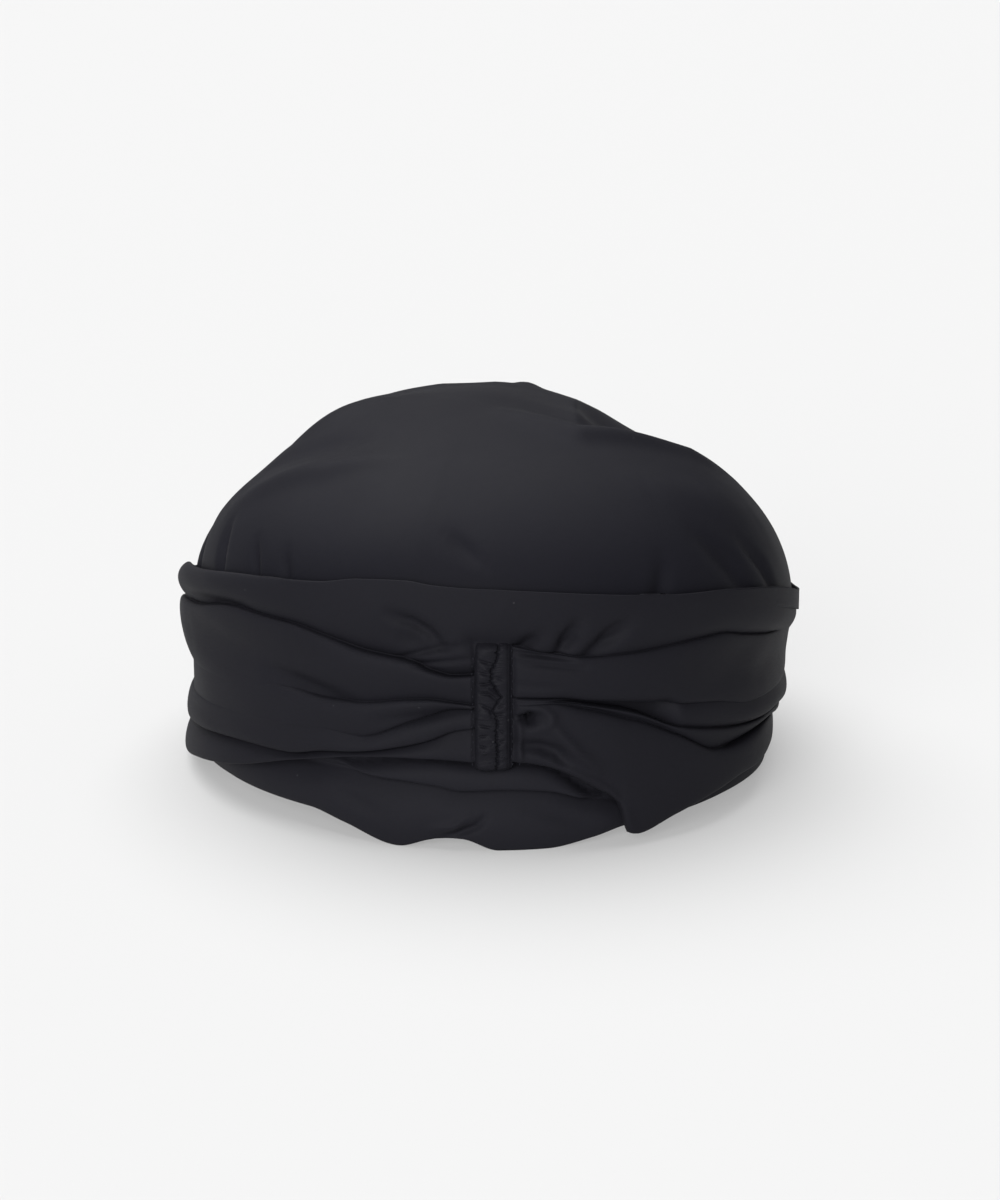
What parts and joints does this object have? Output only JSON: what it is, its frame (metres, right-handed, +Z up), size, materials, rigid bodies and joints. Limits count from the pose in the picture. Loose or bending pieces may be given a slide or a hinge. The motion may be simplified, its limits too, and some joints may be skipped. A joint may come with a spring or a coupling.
{
  "type": "turban headwrap",
  "caption": "Soft turban headwrap: domed crown, hem and a wide pleated band drawn together by a short shirred strip at the back; open below for the head.",
  "frame": {"origin": "middle of the footprint, on the surface that the hem stands on", "axes": "+Z up through the crown, +Y from the gather at the back towards the forehead, +X to the right seen from the gather"},
  "size_m": [0.2042, 0.2163, 0.1218],
  "materials": {
    "crown_cloth": "satin",
    "hem_cloth": "satin",
    "band_cloth": "satin",
    "strip_cloth": "satin"
  },
  "bodies": {
    "root": {"hem": "hem_cloth", "crown": "crown_cloth", "band": "band_cloth", "gather_strip": "strip_cloth"}
  },
  "joints": []
}
